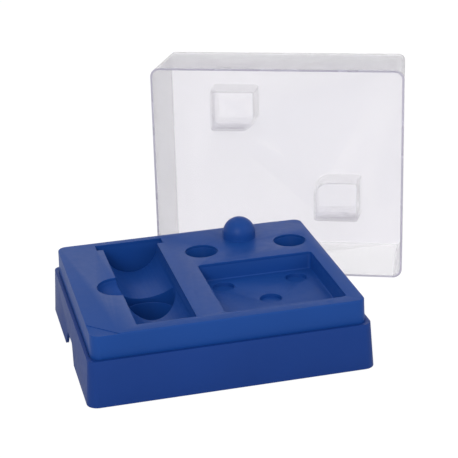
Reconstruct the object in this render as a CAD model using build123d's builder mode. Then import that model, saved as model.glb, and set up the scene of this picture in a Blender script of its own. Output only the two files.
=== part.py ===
"""Bench workstation tray for small test kits, with a loose clear cover.

The tray is two mouldings screwed together, a lower body with a drafted skirt and a ledge, and a
deck with a dome. Five liners are welded under the deck's openings: a bottle trough with a pit cup
below it, two tube wells and a square recess. The deep clear cover stands on its long side behind
the tray, as it does while the tray is in use.

Millimetres. The origin is the centre of the lower body's underside, +X to the right, +Y to the
back and +Z up. Four rubber feet reach a little below the origin, down to the bench.
"""
import os
from math import atan, copysign, cos, degrees, radians, sin, tan

from build123d import *

# Deck, the upper moulding
deck_top_z = 63.0
deck_corner = 9.0
deck_draft = 1.6
deck_wall = 2.6
deck_edge_round = 1.4
deck_drop = 8.0
left_margin = 41.0
front_margin = 12.5
right_margin = 13.75

# Liners under the deck: their wall, how much wider than a cup the hole above it is, and the room
# that ribs and the lower body leave around them
liner_wall = 2.4
lead_in = 0.4
liner_room = 0.8

# Recess in the right of the deck, with three round seats in its floor
recess_width = 108.5
recess_length = 107.0
recess_deep = 16.5
recess_corner = 4.0
recess_draft = 4.0
recess_foot_round = 1.4
seat_radius = 10.0
seat_deep = 3.5
seat_pitch = 68.8
seat_rear_gap = 18.2
seat_front_offset = 37.6

# Two tube wells, and the dome behind the recess
well_radius = 15.0
well_deep = 50.0
well_side_gap = 11.25
well_front_gap = 17.0
well_rear_gap = 37.5
dome_radius = 15.6
dome_neck = 4.0
dome_rear_gap = 27.6

# Trough in the left of the deck, with its groove, finger scoop and pit
trough_radius = 26.0
trough_land = 24.75
groove_radius = 32.0
groove_length = 12.0
groove_rear_gap = 8.0
pit_radius = 24.0
pit_floor_z = 6.0
pit_neck = 2.0
finger_offset = 83.0
scoop_radius = 20.0

# Lowered marks at two corners of the deck
corner_mark_leg = 25.0
corner_mark_deep = 0.6

# Ribs and screw bosses under the deck
rib_thick = 1.8
rib_deep = 8.0
rib_pitch = 60.0
boss_radius = 4.0
boss_inset = 6.0
side_boss_gap = 29.0
pilot_radius = 1.45
pilot_deep = 14.0

# Lower body
ledge_z = 41.5
ledge_width = 3.5
body_flare = 2.8
body_corner = 10.0
body_wall = 2.6
shelf_thick = 2.6
shelf_width = 14.0
tongue_thick = 1.8
tongue_high = 5.0
seat_clearance = 0.2
strap_width = 14.0
strap_thick = 3.0
strap_lip_thick = 1.8
strap_lip_high = 4.0
gusset_thick = 1.8
gusset_reach = 9.0
front_gusset_x = 60.0
side_gusset_gap = 14.0

# Finger notches in the skirt's two short sides
notch_width = 48.0
notch_top_width = 25.0
notch_high = 16.5
notch_round = 4.0

# Feet and their posts
foot_radius = 7.0
foot_proud = 0.8
foot_seat_deep = 2.0
foot_seat_thick = 2.4
foot_inset = 15.5
foot_stem_radius = 2.5
foot_barb_radius = 3.2
foot_tip_radius = 2.0
foot_barb_long = 3.0
foot_clearance = 0.15
post_wall = 2.2

# Screws
screw_head_radius = 3.6
screw_head_high = 2.4
screw_bite = 11.0
screw_clearance = 0.4

# Cover
lid_height = 88.0
lid_step = 0.6
lid_draft_step = 3.2
lid_corner = 9.0
lid_wall = 2.0
lid_edge_round = 2.5
pocket_width = 45.5
pocket_length = 41.5
pocket_deep = 30.0
pocket_flare = 2.2
pocket_x = 52.7
pocket_y = 47.4
pocket_corner = 3.0
pocket_big_corner = 15.0
gate_radius = 7.2
pin_radius = 6.0
mark_deep = 0.3

# Where the cover stands: its turn about Z in degrees, the gap between its lowest rim edge and the
# tray's rear right corner, and how far the rim's middle is from that corner along the rim
lid_yaw = -23.0
lid_gap = 1.1
lid_past_corner = 20.6

# Heights and places worked out from the sizes above
quarter_turn = 90
deck_width = left_margin + 2 * trough_radius + trough_land + recess_width + right_margin
deck_depth = front_margin + recess_length + well_front_gap + 2 * well_radius + well_rear_gap
deck_foot_z = ledge_z - deck_drop
inner_top_z = deck_top_z - deck_wall
deck_flare = tan(radians(deck_draft))
body_draft = degrees(atan(body_flare / ledge_z))
shelf_z = deck_foot_z - shelf_thick
recess_floor_z = deck_top_z - recess_deep
recess_x = deck_width / 2 - right_margin - recess_width / 2
recess_y = -deck_depth / 2 + front_margin + recess_length / 2
trough_x = recess_x - recess_width / 2 - trough_land - trough_radius
trough_front_y = -deck_depth / 2 + front_margin
finger_y = trough_front_y + finger_offset
groove_rear_y = deck_depth / 2 - groove_rear_gap
groove_front_y = groove_rear_y - groove_length
well_y = deck_depth / 2 - well_rear_gap - well_radius
well_pitch = recess_width - 2 * well_side_gap
well_floor_z = deck_top_z - well_deep
well_clear_radius = well_radius + liner_wall + liner_room
pit_rim_z = deck_top_z - trough_radius - liner_wall - pit_neck
dome_y = deck_depth / 2 - dome_rear_gap
seat_rear_y = recess_y + recess_length / 2 - seat_rear_gap
body_top_width = deck_width + 2 * ((deck_top_z - ledge_z) * deck_flare + ledge_width)
body_top_depth = body_top_width - deck_width + deck_depth
foot_x = body_top_width / 2 - foot_inset
foot_y = body_top_depth / 2 - foot_inset
side_gusset_y = notch_width / 2 + side_gusset_gap
post_bore = foot_radius + foot_clearance
bench_z = -foot_proud
lid_width = body_top_width - 2 * lid_step
lid_depth = body_top_depth - 2 * lid_step

well_places = {
    "well_cup_left": (recess_x - well_pitch / 2, well_y),
    "well_cup_right": (recess_x + well_pitch / 2, well_y),
}
seat_places = [
    (recess_x - seat_pitch / 2, seat_rear_y),
    (recess_x + seat_pitch / 2, seat_rear_y),
    (recess_x, seat_rear_y - seat_front_offset),
]
pit_place = (trough_x, finger_y)
boss_x = deck_width / 2 - boss_inset
boss_y = deck_depth / 2 - boss_inset
side_boss_y = deck_depth / 2 - side_boss_gap
side_boss_places = [(side * boss_x, row * side_boss_y) for side in (-1, 1) for row in (-1, 1)]
end_boss_places = [
    (trough_x + trough_radius + trough_land / 2, -boss_y),
    (recess_x - well_pitch / 2, boss_y),
]
boss_places = side_boss_places + end_boss_places
foot_places = {
    "foot_front_left": (-foot_x, -foot_y),
    "foot_front_right": (foot_x, -foot_y),
    "foot_rear_left": (-foot_x, foot_y),
    "foot_rear_right": (foot_x, foot_y),
}

# The cover's own plane: its rim's middle, x along the rim, y up the rim and z out of the mouth
lid_yaw_angle = radians(lid_yaw)
lid_lean = atan(lid_draft_step / lid_height)
lid_along = Vector(cos(lid_yaw_angle), sin(lid_yaw_angle), 0)
lid_up = Vector(-sin(lid_yaw_angle) * sin(lid_lean), cos(lid_yaw_angle) * sin(lid_lean), cos(lid_lean))
lid_back = Vector(-sin(lid_yaw_angle), cos(lid_yaw_angle), 0)
tray_corner = Vector(
    body_top_width / 2 + body_flare - body_corner, body_top_depth / 2 + body_flare - body_corner, bench_z
)
lid_stand = tray_corner + lid_back * (body_corner + lid_gap) - lid_along * lid_past_corner
lid_plane = Plane(
    origin=lid_stand + lid_up * (lid_depth / 2),
    x_dir=lid_along,
    z_dir=lid_along.cross(lid_up),
)


def deck_size(z, wall=0.0):
    """Width and depth of the deck's drafted outside at height z, less a wall on every side."""
    spread = 2 * ((deck_top_z - z) * deck_flare - wall)
    return deck_width + spread, deck_depth + spread


def body_size(z, wall=0.0):
    """Width and depth of the lower body's flared outside at height z, less a wall on every side."""
    spread = 2 * (body_flare * (ledge_z - z) / ledge_z - wall)
    return body_top_width + spread, body_top_depth + spread


def drafted_block(size_low, z_low, z_high, corner, draft):
    """A rounded block that narrows upwards by a draft angle from its size at the lower end."""
    with BuildPart() as block:
        with BuildSketch(Plane.XY.offset(z_low)):
            RectangleRounded(*size_low, corner)
        extrude(amount=z_high - z_low, taper=draft)
    return block.part


def columns(places, radius, z_low, z_high):
    """Upright round columns at the given places."""
    with BuildPart() as round_columns:
        with BuildSketch(Plane.XY.offset(z_low)):
            with Locations(*places):
                Circle(radius)
        extrude(amount=z_high - z_low)
    return round_columns.part


def half_cylinder(radius, y_front, y_rear):
    """The lower half of a cylinder that lies along the trough's axis at the deck's top."""
    with BuildPart() as half:
        with BuildSketch(Plane.XZ.offset(-y_front)):
            with Locations((trough_x, deck_top_z)):
                Circle(radius)
                Rectangle(2 * radius, radius, align=(Align.CENTER, Align.MIN), mode=Mode.SUBTRACT)
        extrude(amount=y_front - y_rear)
    return half.part


def recess_block(wall, foot_round=0.0):
    """The recess's drafted hollow, or its jacket where a wall is given."""
    with BuildPart() as block:
        with BuildSketch(Plane.XY.offset(deck_top_z)):
            with Locations((recess_x, recess_y)):
                RectangleRounded(recess_width + 2 * wall, recess_length + 2 * wall, recess_corner + wall)
        extrude(amount=-recess_deep - wall, taper=recess_draft)
        if foot_round:
            fillet(block.faces().sort_by(Axis.Z)[0].edges(), foot_round)
    return block.part


def scoop_ball(radius):
    """The lower half of a ball centred on the trough's left edge."""
    with BuildPart() as ball:
        with Locations((trough_x - trough_radius, finger_y, deck_top_z)):
            Sphere(radius, arc_size1=-quarter_turn, arc_size2=0, align=(Align.CENTER, Align.CENTER, Align.MAX))
    return ball.part


def dome_solid(radius, z_foot):
    """A column with a half ball on it, as tall as the dome's neck plus the radius."""
    z_neck = deck_top_z + dome_neck
    with BuildPart() as dome:
        with BuildSketch(Plane.XY.offset(z_foot)):
            with Locations((recess_x, dome_y)):
                Circle(radius)
        extrude(amount=z_neck - z_foot)
        with Locations((recess_x, dome_y, z_neck)):
            Sphere(radius, arc_size1=0, arc_size2=quarter_turn, align=(Align.CENTER, Align.CENTER, Align.MIN))
    return dome.part


def trough_block(wall):
    """The trough's hollow with its groove and scoop, or its jacket where a wall is given."""
    with BuildPart() as block:
        add(half_cylinder(trough_radius + wall, trough_front_y - wall, groove_front_y))
        add(half_cylinder(groove_radius + wall, groove_front_y - wall, groove_rear_y + wall))
        add(scoop_ball(scoop_radius + wall))
    return block.part


def deck_shell():
    """The deck's drafted outside with its hollow underside and the ribs beneath its top."""
    outside = drafted_block(deck_size(deck_foot_z), deck_foot_z, deck_top_z, deck_corner, deck_draft)
    inside = drafted_block(
        deck_size(deck_foot_z, deck_wall), deck_foot_z, inner_top_z, deck_corner - deck_wall, deck_draft
    )
    with BuildPart() as ribs:
        with BuildSketch(Plane.XY.offset(inner_top_z - rib_deep)):
            with GridLocations(rib_pitch, 0, int(deck_width / rib_pitch), 1):
                Rectangle(rib_thick, deck_depth)
            with GridLocations(0, rib_pitch, 1, int(deck_depth / rib_pitch)):
                Rectangle(deck_width, rib_thick)
        extrude(amount=rib_deep)
        add(inside, mode=Mode.INTERSECT)
        add(trough_block(liner_wall + liner_room), mode=Mode.SUBTRACT)
        add(recess_block(liner_wall + liner_room), mode=Mode.SUBTRACT)
        add(columns(well_places.values(), well_clear_radius, deck_foot_z, inner_top_z), mode=Mode.SUBTRACT)
    with BuildPart() as shell:
        add(outside)
        fillet(shell.faces().sort_by(Axis.Z)[-1].edges(), deck_edge_round)
        add(inside, mode=Mode.SUBTRACT)
        add(ribs.part)
    return shell.part


def boss_columns():
    """Screw bosses under the deck, each tied to the nearest wall by a web."""
    web_long = boss_inset - deck_wall / 2
    with BuildPart() as bosses:
        with BuildSketch(Plane.XY.offset(deck_foot_z)):
            with Locations(*boss_places):
                Circle(boss_radius)
            with Locations(*[(x + copysign(web_long / 2, x), y) for x, y in side_boss_places]):
                Rectangle(web_long, rib_thick)
            with Locations(*[(x, y + copysign(web_long / 2, y)) for x, y in end_boss_places]):
                Rectangle(rib_thick, web_long)
        extrude(amount=inner_top_z - deck_foot_z)
    return bosses.part


def corner_marks():
    """Thin triangular plates that lower the front left and rear right corners of the deck's top."""
    with BuildPart() as marks:
        with BuildSketch(Plane.XY.offset(deck_top_z - corner_mark_deep)):
            for side in (-1, 1):
                corner_x = side * deck_width / 2
                corner_y = side * deck_depth / 2
                with BuildLine():
                    Polyline(
                        (corner_x - side * corner_mark_leg, corner_y),
                        (corner_x, corner_y),
                        (corner_x, corner_y - side * corner_mark_leg),
                        close=True,
                    )
                make_face()
        extrude(amount=corner_mark_deep)
    return marks.part


def make_deck():
    """The upper moulding, with an opening above each liner."""
    shell = deck_shell()
    bosses = boss_columns()
    well_holes = columns(well_places.values(), well_radius + lead_in, inner_top_z, deck_top_z)
    pilots = columns(boss_places, pilot_radius, deck_foot_z, deck_foot_z + pilot_deep)
    marks = corner_marks()
    dome = dome_solid(dome_radius, inner_top_z)
    dome_hollow = dome_solid(dome_radius - deck_wall, inner_top_z)
    with BuildPart() as deck:
        add(shell)
        add(bosses)
        for hollow in (trough_block(0.0), recess_block(0.0), well_holes):
            add(hollow, mode=Mode.SUBTRACT)
        add(pilots, mode=Mode.SUBTRACT)
        add(marks, mode=Mode.SUBTRACT)
        add(dome)
        add(dome_hollow, mode=Mode.SUBTRACT)
    deck.part.label = "deck"
    return deck.part


def make_trough():
    """The trough's liner, with a round neck that the pit cup is welded to."""
    jacket = trough_block(liner_wall)
    hollow = trough_block(0.0)
    neck_top_z = deck_top_z - trough_radius / 3
    neck = columns([pit_place], pit_radius + liner_wall, pit_rim_z, neck_top_z)
    neck_hole = columns([pit_place], pit_radius + lead_in, pit_rim_z, neck_top_z)
    with BuildPart() as trough:
        add(jacket)
        add(neck)
        add(hollow, mode=Mode.SUBTRACT)
        add(neck_hole, mode=Mode.SUBTRACT)
        split(bisect_by=Plane.XY.offset(inner_top_z), keep=Keep.BOTTOM)
    trough.part.label = "trough"
    return trough.part


def make_recess_pan():
    """The recess's liner, with three round seats in its floor."""
    jacket = recess_block(liner_wall)
    hollow = recess_block(0.0, recess_foot_round)
    seat_floor_z = recess_floor_z - seat_deep
    seat_jackets = columns(seat_places, seat_radius + liner_wall, seat_floor_z - liner_wall, recess_floor_z)
    seats = columns(seat_places, seat_radius, seat_floor_z, recess_floor_z)
    with BuildPart() as pan:
        add(jacket)
        add(seat_jackets)
        add(hollow, mode=Mode.SUBTRACT)
        add(seats, mode=Mode.SUBTRACT)
        split(bisect_by=Plane.XY.offset(inner_top_z), keep=Keep.BOTTOM)
    pan.part.label = "recess_pan"
    return pan.part


def make_cup(name, place, radius, floor_z, rim_z):
    """One round cup with a flat floor."""
    with BuildPart() as cup:
        with BuildSketch(Plane.XY.offset(floor_z - liner_wall)):
            with Locations(place):
                Circle(radius + liner_wall)
        extrude(amount=rim_z - floor_z + liner_wall)
        with BuildSketch(Plane.XY.offset(floor_z)):
            with Locations(place):
                Circle(radius)
        extrude(amount=rim_z - floor_z, mode=Mode.SUBTRACT)
    cup.part.label = name
    return cup.part


def body_shell():
    """The flared skirt, with the ledge round its top and the shelf that carries the deck."""
    skirt = drafted_block(body_size(0.0), 0.0, ledge_z, body_corner, body_draft)
    hollow = drafted_block(body_size(0.0, body_wall), 0.0, shelf_z, body_corner - body_wall, body_draft)
    seat_size = deck_size(deck_foot_z, -seat_clearance)
    deck_seat = drafted_block(
        seat_size, deck_foot_z, ledge_z, deck_corner + seat_clearance, deck_draft
    )
    opening_size = deck_size(deck_foot_z, shelf_width)
    with BuildPart() as shell:
        add(skirt)
        add(hollow, mode=Mode.SUBTRACT)
        add(deck_seat, mode=Mode.SUBTRACT)
        with BuildSketch(Plane.XY.offset(shelf_z)):
            RectangleRounded(*opening_size, deck_corner)
        extrude(amount=shelf_thick, mode=Mode.SUBTRACT)
    return shell.part


def tongue():
    """Low bars on the shelf that locate the deck from inside, open at the screw bosses."""
    width, depth = deck_size(deck_foot_z + tongue_high, deck_wall + seat_clearance + tongue_thick / 2)
    boss_gap = 2 * (boss_radius + seat_clearance)
    with BuildPart() as bars:
        with BuildSketch(Plane.XY.offset(deck_foot_z)):
            with Locations((0, -depth / 2), (0, depth / 2)):
                Rectangle(width - 2 * deck_corner, tongue_thick)
            with Locations((-width / 2, 0), (width / 2, 0)):
                Rectangle(tongue_thick, depth - 2 * deck_corner)
            with Locations(*side_boss_places):
                Rectangle(2 * boss_inset, boss_gap, mode=Mode.SUBTRACT)
            with Locations(*end_boss_places):
                Rectangle(boss_gap, 2 * boss_inset, mode=Mode.SUBTRACT)
        extrude(amount=tongue_high)
    return bars.part


def foot_posts():
    """Hollow posts for the feet, each tied to the skirt by two webs."""
    post_radius = post_bore + post_wall
    inner_width, inner_depth = body_size(0.0, body_wall / 2)
    web_x = inner_width / 2 - foot_x
    web_y = inner_depth / 2 - foot_y
    skirt = drafted_block(body_size(0.0), 0.0, ledge_z, body_corner, body_draft)
    with BuildPart() as posts:
        with BuildSketch():
            with Locations(*foot_places.values()):
                Circle(post_radius)
            for x, y in foot_places.values():
                with Locations((x + copysign(web_x / 2, x), y)):
                    Rectangle(web_x, gusset_thick)
                with Locations((x, y + copysign(web_y / 2, y))):
                    Rectangle(gusset_thick, web_y)
        extrude(amount=shelf_z)
        add(skirt, mode=Mode.INTERSECT)
    return posts.part


def side_gussets():
    """Triangular gussets from the skirt's inner face to the shelf."""
    inner_width, inner_depth = body_size(shelf_z, body_wall / 2)
    with BuildPart() as gussets:
        for side in (-1, 1):
            for row in (-1, 1):
                with BuildSketch(Plane.XZ.offset(-row * side_gusset_y)):
                    with BuildLine():
                        Polyline(
                            (side * inner_width / 2, shelf_z),
                            (side * (inner_width / 2 - gusset_reach), shelf_z),
                            (side * inner_width / 2, notch_high),
                            close=True,
                        )
                    make_face()
                extrude(amount=gusset_thick / 2, both=True)
                with BuildSketch(Plane.YZ.offset(row * front_gusset_x)):
                    with BuildLine():
                        Polyline(
                            (side * inner_depth / 2, shelf_z),
                            (side * (inner_depth / 2 - gusset_reach), shelf_z),
                            (side * inner_depth / 2, notch_high),
                            close=True,
                        )
                    make_face()
                extrude(amount=gusset_thick / 2, both=True)
    return gussets.part


def underside_strap():
    """A lipped strap across the open underside, from the front of the skirt to its rear."""
    strap_long = body_size(0.0, body_wall / 2)[1]
    lip_offset = (strap_width - strap_lip_thick) / 2
    with BuildPart() as strap:
        with BuildSketch():
            Rectangle(strap_width, strap_long)
        extrude(amount=strap_thick)
        with BuildSketch(Plane.XY.offset(strap_thick)):
            with Locations((-lip_offset, 0), (lip_offset, 0)):
                Rectangle(strap_lip_thick, strap_long)
        extrude(amount=strap_lip_high)
    return strap.part


def finger_notches():
    """Tapered notches with rounded tops, through the lower edge of both short sides."""
    reach = 2 * (body_flare + body_wall)
    with BuildPart() as notches:
        for side in (-1, 1):
            with BuildSketch(Plane.YZ.offset(side * body_top_width / 2)) as profile:
                with BuildLine():
                    Polyline(
                        (-notch_width / 2, 0),
                        (notch_width / 2, 0),
                        (notch_top_width / 2, notch_high),
                        (-notch_top_width / 2, notch_high),
                        close=True,
                    )
                make_face()
                fillet(profile.vertices().group_by(Axis.Y)[-1], notch_round)
            extrude(amount=reach, both=True)
    return notches.part


def make_lower_body():
    """The lower moulding."""
    shell = body_shell()
    locating_tongue = tongue()
    posts = foot_posts()
    gussets = side_gussets()
    strap = underside_strap()
    notches = finger_notches()
    foot_points = list(foot_places.values())
    plate_z = foot_seat_deep + foot_seat_thick
    seats = columns(foot_points, post_bore, 0.0, foot_seat_deep)
    stem_holes = columns(foot_points, foot_stem_radius + foot_clearance, foot_seat_deep, plate_z)
    post_hollows = columns(foot_points, post_bore, plate_z, deck_foot_z)
    screw_holes = columns(boss_places, pilot_radius + screw_clearance, shelf_z, deck_foot_z)
    relief_wall = liner_wall + liner_room
    groove_relief = half_cylinder(
        groove_radius + relief_wall, groove_front_y - relief_wall, groove_rear_y + relief_wall
    )
    well_relief = columns(well_places.values(), well_clear_radius, well_floor_z, deck_foot_z)
    with BuildPart() as body:
        add(shell)
        add(locating_tongue)
        add(posts)
        add(gussets)
        add(strap)
        for hollow in (notches, seats, stem_holes, post_hollows, screw_holes, groove_relief, well_relief):
            add(hollow, mode=Mode.SUBTRACT)
    body.part.label = "lower_body"
    return body.part


def make_foot(name, place):
    """One push-in rubber foot with a barbed stem."""
    plate_z = foot_seat_deep + foot_seat_thick
    with BuildPart() as foot:
        with BuildSketch(Plane(origin=(*place, 0), x_dir=(1, 0, 0), z_dir=(0, -1, 0))):
            with BuildLine():
                Polyline(
                    (0, bench_z),
                    (foot_radius, bench_z),
                    (foot_radius, foot_seat_deep),
                    (foot_stem_radius, foot_seat_deep),
                    (foot_stem_radius, plate_z),
                    (foot_barb_radius, plate_z),
                    (foot_tip_radius, plate_z + foot_barb_long),
                    (0, plate_z + foot_barb_long),
                    close=True,
                )
            make_face()
        revolve(axis=Axis((*place, 0), (0, 0, 1)))
    foot.part.label = name
    return foot.part


def make_screws():
    """Six pan-head screws that come up through the shelf into the deck's bosses."""
    with BuildPart() as screws:
        with BuildSketch(Plane.XY.offset(shelf_z)):
            with Locations(*boss_places):
                Circle(screw_head_radius)
        extrude(amount=-screw_head_high)
        with BuildSketch(Plane.XY.offset(shelf_z)):
            with Locations(*boss_places):
                Circle(pilot_radius)
        extrude(amount=shelf_thick + screw_bite)
    screws.part.label = "screws"
    return screws.part


def lid_block(wall):
    """The cover's drafted block, less a wall on every side and on the panel."""
    with BuildPart() as block:
        with BuildSketch(lid_plane):
            RectangleRounded(lid_width - 2 * wall, lid_depth - 2 * wall, lid_corner - wall)
        extrude(amount=wall - lid_height, taper=degrees(lid_lean))
        if not wall:
            panel_face = block.faces().sort_by(Axis(lid_plane.origin, lid_plane.z_dir))[0]
            fillet(panel_face.edges(), lid_edge_round)
    return block.part


def pocket_block(side, wall):
    """One pocket of the panel as a drafted block, less a wall on every side and on its face."""
    spread = 2 * (pocket_flare - wall)
    with BuildPart() as block:
        with BuildSketch(lid_plane.offset(-lid_height)) as section:
            with Locations((side * pocket_x, -side * pocket_y)):
                Rectangle(pocket_width + spread, pocket_length + spread)
            fillet(section.vertices().sort_by_distance((0, 0, 0))[1:], pocket_corner + pocket_flare - wall)
            fillet(section.vertices().sort_by_distance((0, 0, 0))[0], pocket_big_corner + pocket_flare - wall)
        extrude(amount=pocket_deep - wall, taper=degrees(atan(pocket_flare / pocket_deep)))
    return block.part


def make_lid():
    """The clear cover, with two square pockets let into its panel."""
    outside = lid_block(0.0)
    inside = lid_block(lid_wall)
    pockets = [pocket_block(side, 0.0) for side in (-1, 1)]
    hollows = [pocket_block(side, lid_wall) for side in (-1, 1)]
    panel_depth = lid_height - lid_wall
    face_depth = lid_height - pocket_deep
    with BuildPart() as lid:
        add(outside)
        add(inside, mode=Mode.SUBTRACT)
        for pocket in pockets:
            add(pocket)
        for hollow in hollows:
            add(hollow, mode=Mode.SUBTRACT)
        with BuildSketch(lid_plane.offset(-panel_depth)):
            Circle(gate_radius)
        extrude(amount=-mark_deep, mode=Mode.SUBTRACT)
        with BuildSketch(lid_plane.offset(-face_depth)):
            with Locations((-pocket_x, pocket_y), (pocket_x, -pocket_y)):
                Circle(pin_radius)
        extrude(amount=-mark_deep, mode=Mode.SUBTRACT)
    lid.part.label = "lid"
    return lid.part


os.makedirs("parts", exist_ok=True)
pieces = [make_lower_body(), make_deck(), make_trough(), make_recess_pan(), make_lid(), make_screws()]
pieces += [make_cup("pit_cup", pit_place, pit_radius, pit_floor_z, pit_rim_z)]
pieces += [
    make_cup(name, place, well_radius, well_floor_z, inner_top_z) for name, place in well_places.items()
]
pieces += [make_foot(name, place) for name, place in foot_places.items()]
for piece in pieces:
    export_step(piece, f"parts/{piece.label}.step")
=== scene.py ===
"""A bench workstation tray and its clear cover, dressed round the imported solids.

The blue mouldings, their liners and the clear cover are finished from their solids: the loose
triangles are merged, the flat faces joined, and every moulded edge gets the small radius that
catches the light. Feet and screws repeat, so they are made by Geometry Nodes. Everything is in metres,
in the solids' own frame: +X to the right, +Y to the back and +Z up.
"""
from __future__ import annotations

import logging
import math
from dataclasses import dataclass, field
from enum import Enum
from typing import NamedTuple

import bmesh
import bpy
from mathutils import Matrix, Vector

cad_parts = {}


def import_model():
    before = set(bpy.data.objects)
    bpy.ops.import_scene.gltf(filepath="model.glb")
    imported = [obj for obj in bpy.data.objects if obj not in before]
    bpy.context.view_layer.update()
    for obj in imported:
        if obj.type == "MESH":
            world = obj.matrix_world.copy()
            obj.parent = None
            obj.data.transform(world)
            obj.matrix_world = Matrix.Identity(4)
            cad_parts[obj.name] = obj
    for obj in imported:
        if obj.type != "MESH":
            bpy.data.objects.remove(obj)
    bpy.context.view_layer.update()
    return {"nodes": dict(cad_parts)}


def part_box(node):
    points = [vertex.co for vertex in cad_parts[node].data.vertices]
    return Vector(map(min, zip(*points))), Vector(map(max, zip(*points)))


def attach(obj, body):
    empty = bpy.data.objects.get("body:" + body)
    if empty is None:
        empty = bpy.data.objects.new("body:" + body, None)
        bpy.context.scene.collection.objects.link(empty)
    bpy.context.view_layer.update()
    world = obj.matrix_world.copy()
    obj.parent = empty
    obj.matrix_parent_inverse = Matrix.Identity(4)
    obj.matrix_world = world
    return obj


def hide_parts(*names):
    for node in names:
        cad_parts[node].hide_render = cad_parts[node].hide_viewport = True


log = logging.getLogger("tray")

Point = tuple[float, float, float]

MM = 0.001
WHITE = (1.0, 1.0, 1.0, 1.0)

# Between these two, a noise pattern has nearly all of its values
NOISE_LOW = 0.3
NOISE_HIGH = 0.7

# Edge radii of the mouldings
BLUE_EDGE_MM = 0.45
CLEAR_EDGE_MM = 0.3


class Thread(NamedTuple):
    """A screw thread, in millimetres: its shank's radius, its start and length, and its pitch."""

    radius: float
    start: float
    length: float
    pitch: float


# Steps of the turned parts from the bottom up: lower radius, upper radius and height
FOOT_STEPS_MM = [(6.5, 7.0, 0.5), (7.0, 7.0, 2.3), (2.5, 2.5, 1.6), (2.5, 2.5, 0.8), (3.2, 2.0, 3.0)]
SCREW_STEPS_MM = [(2.9, 3.6, 0.7), (3.6, 3.6, 1.7), (1.2, 1.2, 12.1), (1.2, 0.4, 1.5)]
SCREW_THREAD_MM = Thread(radius=1.2, start=2.6, length=11.6, pitch=1.1)

# No point of a screw is this far from another of its points, seen from above
SCREW_REACH_MM = 10.0


class Body(Enum):
    """The bodies that pieces ride on."""

    BASE = "base"
    LID = "lid"


class Slot(Enum):
    """The record's material slots."""

    BODY = "blue_body"
    DECK = "blue_deck"
    COVER = "clear_cover"
    FOOT = "foot_rubber"
    SCREW = "screw_steel"


# The base's mouldings: each solid's piece and its slot
BASE_MOULDINGS = {
    "lower_body": ("skirt_moulding", Slot.BODY),
    "deck": ("deck_moulding", Slot.DECK),
    "trough": ("trough_liner", Slot.DECK),
    "recess_pan": ("recess_liner", Slot.DECK),
    "pit_cup": ("pit_liner", Slot.DECK),
    "well_cup_left": ("well_liner_left", Slot.DECK),
    "well_cup_right": ("well_liner_right", Slot.DECK),
}


def linear(hex_colour: str) -> tuple[float, float, float, float]:
    """Turns an sRGB hex colour into linear red, green, blue and alpha.

    Args:
        hex_colour: Six hex digits after a hash sign.

    Returns:
        The linear colour, with an alpha of one.
    """
    parts = [int(hex_colour[i : i + 2], 16) / 255 for i in (1, 3, 5)]
    red, green, blue = (c / 12.92 if c <= 0.04045 else ((c + 0.055) / 1.055) ** 2.4 for c in parts)
    return red, green, blue, 1.0


def add_node(
    tree: bpy.types.NodeTree, kind: str, inputs: dict | None = None, **settings: object
) -> bpy.types.Node:
    """Adds a node with its settings, input values and incoming links.

    Args:
        tree: The node tree that gets the node.
        kind: The node's type name.
        inputs: Input name or index to a value, or to the output socket that feeds it.
        settings: Properties of the node itself.

    Returns:
        The new node.
    """
    node = tree.nodes.new(kind)
    for name, value in settings.items():
        setattr(node, name, value)
    for key, value in (inputs or {}).items():
        if isinstance(value, bpy.types.NodeSocket):
            tree.links.new(value, node.inputs[key])
        else:
            node.inputs[key].default_value = value
    return node


def new_material(name: str) -> tuple[bpy.types.Material, bpy.types.NodeTree]:
    """Makes an empty node material.

    Args:
        name: The material's name.

    Returns:
        The material and its node tree.
    """
    material = bpy.data.materials.new(name)
    material.use_nodes = True
    material.node_tree.nodes.clear()
    return material, material.node_tree


def two_tone(
    tree: bpy.types.NodeTree,
    place: bpy.types.NodeSocket,
    tones: tuple[str, str],
    patch_mm: float,
    detail: float,
) -> bpy.types.NodeSocket:
    """Adds a colour that drifts between two tones in soft patches.

    Args:
        tree: The material's node tree.
        place: The place on the piece.
        tones: The two sRGB hex colours.
        patch_mm: The size of a patch.
        detail: How much finer pattern lies in the patches.

    Returns:
        The colour.
    """
    patches = add_node(
        tree, "ShaderNodeTexNoise", {"Vector": place, "Scale": 1 / (patch_mm * MM), "Detail": detail}
    )
    mixed = add_node(
        tree,
        "ShaderNodeMix",
        {0: patches.outputs["Fac"], 6: linear(tones[0]), 7: linear(tones[1])},
        data_type="RGBA",
    )
    return mixed.outputs[2]


def ray_is_any(tree: bpy.types.NodeTree, *rays: str) -> bpy.types.NodeSocket:
    """Adds a value that is one for any of some kinds of ray, and zero for the others.

    Args:
        tree: The node tree.
        rays: Names of the Light Path outputs.

    Returns:
        The value.
    """
    path = add_node(tree, "ShaderNodeLightPath")
    value = path.outputs[rays[0]]
    for ray in rays[1:]:
        larger = add_node(tree, "ShaderNodeMath", {0: value, 1: path.outputs[ray]}, operation="MAXIMUM")
        value = larger.outputs[0]
    return value


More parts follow.
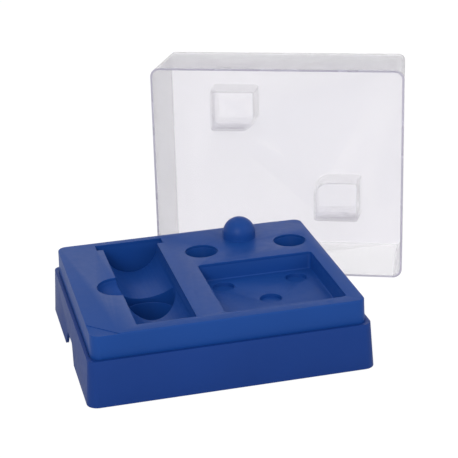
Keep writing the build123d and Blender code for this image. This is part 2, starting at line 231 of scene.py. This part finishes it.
@dataclass(frozen=True)
class MouldedAbs:
    """Injection-moulded ABS, spark-eroded tool: a satin skin with a fine grain and soft highlights.

    The grain is drawn at least twice as coarse as a real one, so that it shows in the render. Polish
    and wear are how far the roughness falls below its mean and rises above it, in patches.
    """

    name: str
    colour: str
    shade: str
    roughness: float = 0.42
    ior: float = 1.54
    gloss: float = 0.15
    grain_mm: float = 0.9
    grain_height_mm: float = 0.010
    cloud_mm: float = 60.0
    scuff_mm: float = 7.0
    polish: float = 0.03
    wear: float = 0.04

    def build(self) -> bpy.types.Material:
        """Makes the material.

        Returns:
            The finished material.
        """
        material, tree = new_material(self.name)
        place = add_node(tree, "ShaderNodeTexCoord").outputs["Object"]
        colour = two_tone(tree, place, (self.colour, self.shade), self.cloud_mm, 2.0)
        scuff = add_node(
            tree,
            "ShaderNodeTexNoise",
            {"Vector": place, "Scale": 1 / (self.scuff_mm * MM), "Detail": 4.0, "Roughness": 0.6},
        )
        rough = add_node(
            tree,
            "ShaderNodeMapRange",
            {
                "Value": scuff.outputs["Fac"],
                "From Min": NOISE_LOW,
                "From Max": NOISE_HIGH,
                "To Min": self.roughness - self.polish,
                "To Max": self.roughness + self.wear,
            },
        )
        grain = add_node(
            tree,
            "ShaderNodeTexVoronoi",
            {"Vector": place, "Scale": 1 / (self.grain_mm * MM), "Randomness": 1.0},
            feature="SMOOTH_F1",
        )
        bump = add_node(
            tree,
            "ShaderNodeBump",
            {"Height": grain.outputs["Distance"], "Distance": self.grain_height_mm * MM, "Strength": 0.6},
        )
        skin = add_node(
            tree,
            "ShaderNodeBsdfPrincipled",
            {
                "Base Color": colour,
                "Roughness": rough.outputs["Result"],
                "IOR": self.ior,
                "Specular IOR Level": self.gloss,
                "Normal": bump.outputs["Normal"],
            },
        )
        add_node(tree, "ShaderNodeOutputMaterial", {"Surface": skin.outputs["BSDF"]})
        return material


@dataclass(frozen=True)
class ClearStyrene:
    """Clear moulded polystyrene: glossy and glass-like, with the faint milky cast of a thin moulding.

    Haze is how far the roughness rises where the wall ripples.
    """

    name: str
    colour: str
    transmission: float = 0.8
    alpha: float = 0.6
    roughness: float = 0.12
    ior: float = 1.59
    ripple_mm: float = 28.0
    ripple_height_mm: float = 0.05
    haze: float = 0.05

    def build(self) -> bpy.types.Material:
        """Makes the material.

        Returns:
            The finished material.
        """
        material, tree = new_material(self.name)
        place = add_node(tree, "ShaderNodeTexCoord").outputs["Object"]
        ripple = add_node(
            tree,
            "ShaderNodeTexNoise",
            {"Vector": place, "Scale": 1 / (self.ripple_mm * MM), "Detail": 1.0, "Roughness": 0.4},
        )
        rough = add_node(
            tree,
            "ShaderNodeMapRange",
            {
                "Value": ripple.outputs["Fac"],
                "From Min": NOISE_LOW,
                "From Max": NOISE_HIGH,
                "To Min": self.roughness,
                "To Max": self.roughness + self.haze,
            },
        )
        bump = add_node(
            tree,
            "ShaderNodeBump",
            {"Height": ripple.outputs["Fac"], "Distance": self.ripple_height_mm * MM, "Strength": 0.5},
        )
        skin = add_node(
            tree,
            "ShaderNodeBsdfPrincipled",
            {
                "Base Color": linear(self.colour),
                "Roughness": rough.outputs["Result"],
                "IOR": self.ior,
                "Transmission Weight": self.transmission,
                "Alpha": self.alpha,
                "Normal": bump.outputs["Normal"],
            },
        )
        add_node(tree, "ShaderNodeOutputMaterial", {"Surface": skin.outputs["BSDF"]})
        return material


@dataclass(frozen=True)
class FootRubber:
    """Black nitrile rubber, moulded: nearly matt, with a dry bloom that greys it in patches."""

    name: str
    colour: str = "#1b1b1d"
    bloom: str = "#2c2c2f"
    roughness: float = 0.72
    ior: float = 1.52
    bloom_mm: float = 3.0
    pore_mm: float = 0.5
    pore_depth_mm: float = 0.02

    def build(self) -> bpy.types.Material:
        """Makes the material.

        Returns:
            The finished material.
        """
        material, tree = new_material(self.name)
        place = add_node(tree, "ShaderNodeTexCoord").outputs["Object"]
        colour = two_tone(tree, place, (self.colour, self.bloom), self.bloom_mm, 3.0)
        pores = add_node(tree, "ShaderNodeTexNoise", {"Vector": place, "Scale": 1 / (self.pore_mm * MM)})
        bump = add_node(
            tree,
            "ShaderNodeBump",
            {"Height": pores.outputs["Fac"], "Distance": self.pore_depth_mm * MM, "Strength": 0.5},
        )
        skin = add_node(
            tree,
            "ShaderNodeBsdfPrincipled",
            {
                "Base Color": colour,
                "Roughness": self.roughness,
                "IOR": self.ior,
                "Normal": bump.outputs["Normal"],
            },
        )
        add_node(tree, "ShaderNodeOutputMaterial", {"Surface": skin.outputs["BSDF"]})
        return material


@dataclass(frozen=True)
class ZincSteel:
    """Zinc-plated steel, barrel plated: a bluish metal whose bright skin is dulled in small blotches."""

    name: str
    colour: str = "#c9ccd1"
    dull: str = "#9ea3aa"
    roughness: float = 0.3
    blotch_mm: float = 1.5

    def build(self) -> bpy.types.Material:
        """Makes the material.

        Returns:
            The finished material.
        """
        material, tree = new_material(self.name)
        place = add_node(tree, "ShaderNodeTexCoord").outputs["Object"]
        colour = two_tone(tree, place, (self.colour, self.dull), self.blotch_mm, 3.0)
        skin = add_node(
            tree,
            "ShaderNodeBsdfPrincipled",
            {"Base Color": colour, "Metallic": 1.0, "Roughness": self.roughness},
        )
        add_node(tree, "ShaderNodeOutputMaterial", {"Surface": skin.outputs["BSDF"]})
        return material


@dataclass(frozen=True)
class StudioWhite:
    """Matt white board: white to the camera and through the cover, and darker under a shadow."""

    name: str
    colour: str = "#f4f4f4"
    lift: float = 0.86
    glow: float = 1.1

    def build(self) -> bpy.types.Material:
        """Makes the material.

        Returns:
            The finished material.
        """
        material, tree = new_material(self.name)
        seen = ray_is_any(tree, "Is Camera Ray", "Is Transmission Ray")
        share = add_node(tree, "ShaderNodeMath", {0: seen, 1: self.lift}, operation="MULTIPLY")
        board = add_node(tree, "ShaderNodeBsdfDiffuse", {"Color": linear(self.colour)})
        glow = add_node(tree, "ShaderNodeEmission", {"Color": WHITE, "Strength": self.glow})
        mixed = add_node(
            tree,
            "ShaderNodeMixShader",
            {0: share.outputs[0], 1: board.outputs["BSDF"], 2: glow.outputs["Emission"]},
        )
        add_node(tree, "ShaderNodeOutputMaterial", {"Surface": mixed.outputs["Shader"]})
        return material


def link_object(name: str, mesh: bpy.types.Mesh) -> bpy.types.Object:
    """Puts a mesh in the scene as an object at the origin.

    Args:
        name: The object's name.
        mesh: Its mesh.

    Returns:
        The new object.
    """
    piece = bpy.data.objects.new(name, mesh)
    bpy.context.scene.collection.objects.link(piece)
    return piece


def settle(piece: bpy.types.Object) -> None:
    """Turns a piece's modifiers into its plain mesh and removes them.

    Args:
        piece: The object to settle.
    """
    bpy.context.view_layer.update()
    evaluated = piece.evaluated_get(bpy.context.evaluated_depsgraph_get())
    plain = bpy.data.meshes.new_from_object(evaluated)
    piece.modifiers.clear()
    piece.data = plain


@dataclass
class Moulding:
    """A moulded piece finished from its solid.

    The edge radius is what a mould maker leaves on every edge. It is smaller than the solid's own
    rounds, and it doesn't move the faces.
    """

    node: str
    piece_name: str
    body: Body
    slot: Slot
    edge_mm: float
    edge_segments: int = 3
    edge_angle: float = 28.0
    flat_angle: float = 0.4
    merge_mm: float = 0.002

    def merged_mesh(self) -> bpy.types.Mesh:
        """Copies the solid's mesh with its triangles merged and its flat faces joined.

        Returns:
            The merged mesh.
        """
        source = frame["nodes"][self.node].data
        shape = bmesh.new()
        shape.from_mesh(source)
        bmesh.ops.remove_doubles(shape, verts=shape.verts, dist=self.merge_mm * MM)
        bmesh.ops.dissolve_limit(
            shape,
            angle_limit=math.radians(self.flat_angle),
            verts=shape.verts,
            edges=shape.edges,
            delimit={"NORMAL"},
        )
        mesh = bpy.data.meshes.new(self.piece_name)
        shape.to_mesh(mesh)
        shape.free()
        return mesh

    def build(self, material: bpy.types.Material) -> bpy.types.Object:
        """Makes the finished moulding in place of its solid.

        Args:
            material: The moulding's finish.

        Returns:
            The finished piece.
        """
        piece = link_object(self.piece_name, self.merged_mesh())
        piece.data.materials.append(material)
        piece.data.shade_smooth()
        edges = piece.modifiers.new("moulded edges", "BEVEL")
        edges.width = self.edge_mm * MM
        edges.segments = self.edge_segments
        edges.limit_method = "ANGLE"
        edges.angle_limit = math.radians(self.edge_angle)
        edges.use_clamp_overlap = True
        edges.harden_normals = True
        settle(piece)
        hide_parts(self.node)
        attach(piece, self.body.value)
        return piece


@dataclass
class ClearCover(Moulding):
    """The cover, whose cut rim gathers light and shows as a thin lilac-grey line. That line is painted:
    the rim's faces get a greyer, less clear finish.

    The cover stands on a long side, so its rim faces forwards, to the left and very slightly up.
    """

    rim_facing: Point = (-0.3905, -0.9199, 0.0363)
    rim_reach_mm: float = 0.4

    def paint_rim_line(self, piece: bpy.types.Object, rim: bpy.types.Material) -> None:
        """Gives the faces of the rim their own finish: a greyer, less clear finish that paints the light
        gathered in the rim as a line.

        Args:
            piece: The finished cover.
            rim: The rim's finish, a painted line of gathered light.
        """
        facing = Vector(self.rim_facing)
        front = max(vertex.co.dot(facing) for vertex in piece.data.vertices)
        rim_index = len(piece.data.materials)
        piece.data.materials.append(rim)
        for face in piece.data.polygons:
            if face.center.dot(facing) > front - self.rim_reach_mm * MM:
                face.material_index = rim_index


@dataclass
class Turned:
    """A small turned part that repeats: a Geometry Nodes tree that stacks round steps on each point.

    Each step is a cone or a cylinder, given by its lower and upper radius and its height. A thread
    can wind round one stretch of the part, as a ridge whose radius is a set part of the pitch.
    """

    piece_name: str
    nodes: tuple[str, ...]
    slot: Slot
    points: list[Point]
    steps: list[Point]
    thread: Thread | None = None
    sides: int = 40
    ridge_sides: int = 4
    pitch_over_ridge: float = 5.0

    def thread_mesh(self, tree: bpy.types.NodeTree) -> bpy.types.NodeSocket:
        """Adds the thread, as a ridge wound round the shank from level zero.

        Args:
            tree: The part's node tree.

        Returns:
            The thread's mesh.
        """
        spiral = add_node(
            tree,
            "GeometryNodeCurveSpiral",
            {
                "Resolution": self.sides,
                "Rotations": self.thread.length / self.thread.pitch,
                "Start Radius": self.thread.radius,
                "End Radius": self.thread.radius,
                "Height": self.thread.length,
            },
        )
        ridge = add_node(
            tree,
            "GeometryNodeCurvePrimitiveCircle",
            {"Resolution": self.ridge_sides, "Radius": self.thread.pitch / self.pitch_over_ridge},
        )
        wound = add_node(
            tree,
            "GeometryNodeCurveToMesh",
            {"Curve": spiral.outputs["Curve"], "Profile Curve": ridge.outputs["Curve"], "Fill Caps": True},
        )
        return wound.outputs["Mesh"]

    def tree(self) -> bpy.types.NodeTree:
        """Makes the node tree, with the material and the whole part's scale as its inputs.

        Returns:
            The node tree.
        """
        tree = bpy.data.node_groups.new(self.piece_name, "GeometryNodeTree")
        tree.interface.new_socket("Geometry", in_out="INPUT", socket_type="NodeSocketGeometry")
        tree.interface.new_socket("Unit", in_out="INPUT", socket_type="NodeSocketFloat")
        tree.interface.new_socket("Finish", in_out="INPUT", socket_type="NodeSocketMaterial")
        tree.interface.new_socket("Geometry", in_out="OUTPUT", socket_type="NodeSocketGeometry")
        given = add_node(tree, "NodeGroupInput")
        meshes = []
        level = 0.0
        for low, high, tall in self.steps:
            step = add_node(
                tree,
                "GeometryNodeMeshCone",
                {"Vertices": self.sides, "Radius Top": high, "Radius Bottom": low, "Depth": tall},
            )
            meshes.append((step.outputs["Mesh"], level))
            level += tall
        if self.thread:
            meshes.append((self.thread_mesh(tree), self.thread.start))
        shape = add_node(tree, "GeometryNodeJoinGeometry")
        for mesh, height in meshes:
            moved = add_node(
                tree, "GeometryNodeTransform", {"Geometry": mesh, "Translation": (0, 0, height)}
            )
            tree.links.new(moved.outputs["Geometry"], shape.inputs["Geometry"])
        copies = add_node(
            tree,
            "GeometryNodeInstanceOnPoints",
            {
                "Points": given.outputs["Geometry"],
                "Instance": shape.outputs["Geometry"],
                "Scale": given.outputs["Unit"],
            },
        )
        real = add_node(tree, "GeometryNodeRealizeInstances", {"Geometry": copies.outputs["Instances"]})
        finished = add_node(
            tree,
            "GeometryNodeSetMaterial",
            {"Geometry": real.outputs["Geometry"], "Material": given.outputs["Finish"]},
        )
        add_node(tree, "NodeGroupOutput", {"Geometry": finished.outputs["Geometry"]})
        return tree

    def build(self, material: bpy.types.Material) -> bpy.types.Object:
        """Makes all the copies as one piece in place of their solids.

        Args:
            material: The parts' finish.

        Returns:
            The finished piece.
        """
        mesh = bpy.data.meshes.new(self.piece_name)
        mesh.from_pydata(self.points, [], [])
        piece = link_object(self.piece_name, mesh)
        pattern = piece.modifiers.new("turned parts", "NODES")
        pattern.node_group = self.tree()
        values = {"Unit": MM, "Finish": material}
        for socket in pattern.node_group.interface.items_tree:
            if socket.in_out == "INPUT" and socket.name in values:
                pattern[socket.identifier] = values[socket.name]
        settle(piece)
        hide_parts(*self.nodes)
        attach(piece, Body.BASE.value)
        return piece


def low_centre(corners: tuple[Vector, Vector]) -> Point:
    """Middle of a box's underside.

    Args:
        corners: The box's lowest and highest corners.

    Returns:
        The point.
    """
    low, high = corners
    return (low.x + high.x) / 2, (low.y + high.y) / 2, low.z


def loose_parts(mesh: bpy.types.Mesh, reach: float, level: float) -> list[Point]:
    """Finds the middle of each separate part of a mesh, for parts that stand apart.

    Args:
        mesh: The mesh.
        reach: Points closer than this, seen from above, are of one part.
        level: The height given to the middles.

    Returns:
        One point for each part.
    """
    groups: list[list[Vector]] = []
    for vertex in mesh.vertices:
        near = next((group for group in groups if (group[0].xy - vertex.co.xy).length < reach), None)
        if near is None:
            groups.append([vertex.co])
        else:
            near.append(vertex.co)
    middles = []
    for group in groups:
        across = [point.x for point in group]
        along = [point.y for point in group]
        middles.append(((min(across) + max(across)) / 2, (min(along) + max(along)) / 2, level))
    return middles


@dataclass(frozen=True)
class PhotoCamera:
    """The camera, fitted to the tray's edges in the photograph."""

    azimuth: float = 13.269
    elevation: float = 21.665
    roll: float = -1.999
    place_mm: Point = (-251.434, -1170.906, 579.987)
    focal_px: float = 1439.15
    frame_px: float = 458.0
    sensor_mm: float = 36.0
    near: float = 0.05
    far: float = 50.0

    def build(self) -> None:
        """Makes the camera and sets it as the scene's."""
        lens = bpy.data.cameras.new("photo camera")
        lens.sensor_width = self.sensor_mm
        lens.sensor_fit = "HORIZONTAL"
        lens.lens = self.focal_px * self.sensor_mm / self.frame_px
        lens.clip_start = self.near
        lens.clip_end = self.far
        camera = bpy.data.objects.new("photo camera", lens)
        bpy.context.scene.collection.objects.link(camera)
        turn = (
            Matrix.Rotation(-math.radians(self.azimuth), 4, "Z")
            @ Matrix.Rotation(math.radians(90 - self.elevation), 4, "X")
            @ Matrix.Rotation(math.radians(self.roll), 4, "Z")
        )
        camera.matrix_world = Matrix.Translation(Vector(self.place_mm) * MM) @ turn
        bpy.context.scene.camera = camera


@dataclass(frozen=True)
class SoftBox:
    """A soft studio lamp aimed at the object."""

    name: str
    place: Point
    size: float
    watts: float
    aim: Point = (0.03, 0.04, 0.06)

    def build(self) -> None:
        """Makes the lamp."""
        lamp = bpy.data.lights.new(self.name, "AREA")
        lamp.shape = "SQUARE"
        lamp.size = self.size
        lamp.energy = self.watts
        holder = bpy.data.objects.new(self.name, lamp)
        bpy.context.scene.collection.objects.link(holder)
        place = Vector(self.place)
        turn = (place - Vector(self.aim)).to_track_quat("Z", "Y").to_matrix().to_4x4()
        holder.matrix_world = Matrix.Translation(place) @ turn


@dataclass
class Studio:
    """White board, white surroundings and soft lamps."""

    floor_size: float = 12.0
    ambient: float = 0.45
    lamps: list[SoftBox] = field(
        default_factory=lambda: [
            SoftBox("key lamp", (-0.9, -1.7, 1.2), 1.0, 19.0),
            SoftBox("fill lamp", (1.4, -1.0, 1.2), 1.6, 6.0),
            SoftBox("top lamp", (0.2, 0.7, 2.2), 1.8, 4.0),
        ]
    )

    def build_floor(self, material: bpy.types.Material) -> None:
        """Lays the board that the feet rest on.

        Args:
            material: The board's finish.
        """
        half = self.floor_size / 2
        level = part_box("foot_front_left")[0].z
        mesh = bpy.data.meshes.new("floor")
        corners = [(-half, -half, level), (half, -half, level), (half, half, level), (-half, half, level)]
        mesh.from_pydata(corners, [], [(0, 1, 2, 3)])
        mesh.materials.append(material)
        link_object("floor", mesh)

    def build_world(self) -> None:
        """Makes surroundings that are white where they are seen and softer where they give light."""
        world = bpy.data.worlds.new("surroundings")
        bpy.context.scene.world = world
        world.use_nodes = True
        tree = world.node_tree
        tree.nodes.clear()
        seen = ray_is_any(tree, "Is Camera Ray", "Is Transmission Ray", "Is Glossy Ray")
        strength = add_node(
            tree, "ShaderNodeMapRange", {"Value": seen, "To Min": self.ambient, "To Max": 1.0}
        )
        sky = add_node(
            tree, "ShaderNodeBackground", {"Color": WHITE, "Strength": strength.outputs["Result"]}
        )
        add_node(tree, "ShaderNodeOutputWorld", {"Surface": sky.outputs["Background"]})

    def build(self, board: bpy.types.Material) -> None:
        """Makes the whole studio.

        Args:
            board: The floor board's finish.
        """
        self.build_floor(board)
        self.build_world()
        for lamp in self.lamps:
            lamp.build()


def main() -> None:
    """Builds the studio and dresses the tray and its cover."""
    logging.basicConfig(level=logging.INFO, format="%(name)s: %(message)s")
    bpy.context.scene.view_settings.view_transform = "Standard"
    PhotoCamera().build()
    Studio().build(StudioWhite("white board").build())
    finishes = {
        Slot.BODY: MouldedAbs("blue ABS skirt", "#153d88", "#13387e"),
        Slot.DECK: MouldedAbs("blue ABS deck", "#194a99", "#16448e"),
        Slot.COVER: ClearStyrene("clear styrene", "#eeebf3"),
        Slot.FOOT: FootRubber("black rubber"),
        Slot.SCREW: ZincSteel("zinc-plated steel"),
    }
    materials = {slot: finish.build() for slot, finish in finishes.items()}
    pieces = [
        Moulding(node, piece_name, Body.BASE, slot, BLUE_EDGE_MM).build(materials[slot])
        for node, (piece_name, slot) in BASE_MOULDINGS.items()
    ]
    cover = ClearCover("lid", "clear_cover", Body.LID, Slot.COVER, CLEAR_EDGE_MM)
    # The rim's finish paints the light gathered in the cut rim: greyer and less clear than the cover.
    rim = ClearStyrene("clear styrene painted rim line", "#bdb8cc", transmission=0.3, alpha=0.9, roughness=0.25)
    cover_piece = cover.build(materials[Slot.COVER])
    cover.paint_rim_line(cover_piece, rim.build())
    pieces.append(cover_piece)
    feet = tuple(node for node in frame["nodes"] if node.startswith("foot_"))
    foot_points = [low_centre(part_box(node)) for node in feet]
    screw_mesh = frame["nodes"]["screws"].data
    screw_points = loose_parts(screw_mesh, SCREW_REACH_MM * MM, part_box("screws")[0].z)
    turned_parts = [
        Turned("rubber_feet", feet, Slot.FOOT, foot_points, FOOT_STEPS_MM),
        Turned("pan_screws", ("screws",), Slot.SCREW, screw_points, SCREW_STEPS_MM, SCREW_THREAD_MM),
    ]
    pieces += [part.build(materials[part.slot]) for part in turned_parts]
    for piece in pieces:
        log.info("%s has %d faces", piece.name, len(piece.data.polygons))


if __name__ == "__main__":
    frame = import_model()
    main()
